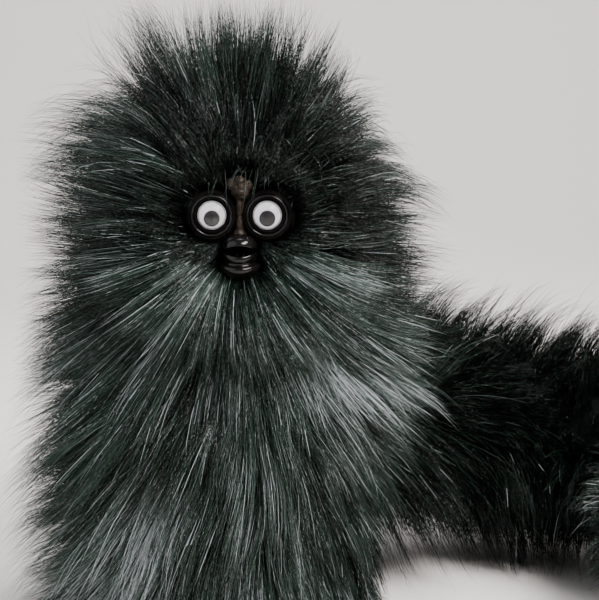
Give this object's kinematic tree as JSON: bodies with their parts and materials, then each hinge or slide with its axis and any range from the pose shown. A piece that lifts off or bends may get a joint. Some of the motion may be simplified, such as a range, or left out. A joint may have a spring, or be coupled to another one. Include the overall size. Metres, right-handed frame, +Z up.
{
  "type": "moving mouth arm puppet",
  "caption": "Long-haired fur arm puppet with a stuffed bending tail and a small hard face; a thumb lever inside the sleeve opens its mouth.",
  "frame": {"origin": "on the table, under the middle of the whole puppet's bounding box", "axes": "+Z up, the face looks along -Y, +X to the viewer's right"},
  "size_m": [0.4378, 0.3246, 0.326],
  "materials": {
    "fur_pile": "matte",
    "lining_cloth": "matte",
    "stuffing": "matte",
    "core_foam": "matte",
    "black_matt": "matte",
    "black_gloss": "gloss",
    "brown_brow": "satin",
    "eye_white": "satin",
    "pupil_black": "gloss",
    "clear_plastic": "gloss",
    "steel": "satin",
    "grip_plastic": "matte",
    "rubber": "matte"
  },
  "bodies": {
    "sleeve": {"body_fur": "fur_pile", "sleeve_lining": "lining_cloth", "cuff_band": "lining_cloth", "tail_fur_base": "fur_pile", "tail_stuffing_base": "stuffing"},
    "head": {"head_fur": "fur_pile", "head_core": "core_foam", "face_plate": "black_matt", "face_screw_left": "steel", "face_screw_right": "steel", "brow_piece": "brown_brow", "eye_cup_left": "black_gloss", "eye_cup_right": "black_gloss", "eye_back_left": "eye_white", "eye_back_right": "eye_white", "eye_lens_left": "clear_plastic", "eye_lens_right": "clear_plastic", "upper_muzzle": "black_gloss", "mouth_lining": "lining_cloth", "jaw_bracket": "black_matt", "jaw_pin": "steel", "stem": "steel", "stem_flange": "black_matt", "stem_screw_1": "steel", "stem_screw_2": "steel", "stem_screw_3": "steel", "lever_pin": "steel", "grip": "grip_plastic", "grip_cap": "rubber", "rod_guide": "black_matt", "return_spring": "steel"},
    "jaw": {"lower_jaw": "black_gloss", "jaw_horn": "steel"},
    "rod": {"push_rod": "steel", "rod_fork_lower": "steel", "rod_fork_upper": "steel", "fork_pin_lower": "steel", "fork_pin_upper": "steel", "spring_collar": "steel"},
    "lever": {"thumb_lever": "black_matt", "thumb_pad": "rubber"},
    "pupil_left": {"pupil_left": "pupil_black"},
    "pupil_right": {"pupil_right": "pupil_black"},
    "tail_middle": {"tail_fur_middle": "fur_pile", "tail_stuffing_middle": "stuffing"},
    "tail_tip": {"tail_fur_tip": "fur_pile", "tail_stuffing_tip": "stuffing"}
  },
  "joints": [
    {"name": "body_lean", "type": "hinge", "parent": "sleeve", "child": "head", "pos_m": [-0.10861, -0.03642, 0.06], "axis": [1, 0, 0], "range_deg": [-8, 10], "stiffness_Nm_per_rad": 2},
    {"name": "thumb_lever_pivot", "type": "hinge", "parent": "head", "child": "lever", "pos_m": [-0.10861, -0.03143, 0.112], "axis": [-1, 0, 0], "range_deg": [-10, 16]},
    {"name": "jaw_hinge", "type": "hinge", "parent": "head", "child": "jaw", "pos_m": [-0.10861, -0.07942, 0.203], "axis": [1, 0, 0], "range_deg": [-10, 16]},
    {"name": "push_rod_slide", "type": "slide", "parent": "head", "child": "rod", "axis": [0, 0, 1], "range_m": [-0.00418, 0.0067], "stiffness_N_per_m": 80, "deforming": ["return_spring"]},
    {"name": "pupil_left_roll", "type": "hinge", "parent": "head", "child": "pupil_left", "pos_m": [-0.12311, -0.09283, 0.225], "axis": [0, -1, 0], "continuous": true},
    {"name": "pupil_right_roll", "type": "hinge", "parent": "head", "child": "pupil_right", "pos_m": [-0.09411, -0.09283, 0.225], "axis": [0, -1, 0], "continuous": true},
    {"name": "tail_bend_1", "type": "hinge", "parent": "sleeve", "child": "tail_middle", "pos_m": [0.06825, 0.0829, 0.07748], "axis": [0, 0, 1], "range_deg": [-4, 25]},
    {"name": "tail_bend_2", "type": "hinge", "parent": "tail_middle", "child": "tail_tip", "pos_m": [0.14643, -0.0001, 0.06772], "axis": [0, 0, 1], "range_deg": [-4, 25]}
  ],
  "couplings": [
    {"joint": "thumb_lever_pivot", "follows": "push_rod_slide", "rad_per_m": 41.667},
    {"joint": "jaw_hinge", "follows": "push_rod_slide", "rad_per_m": 41.667}
  ]
}
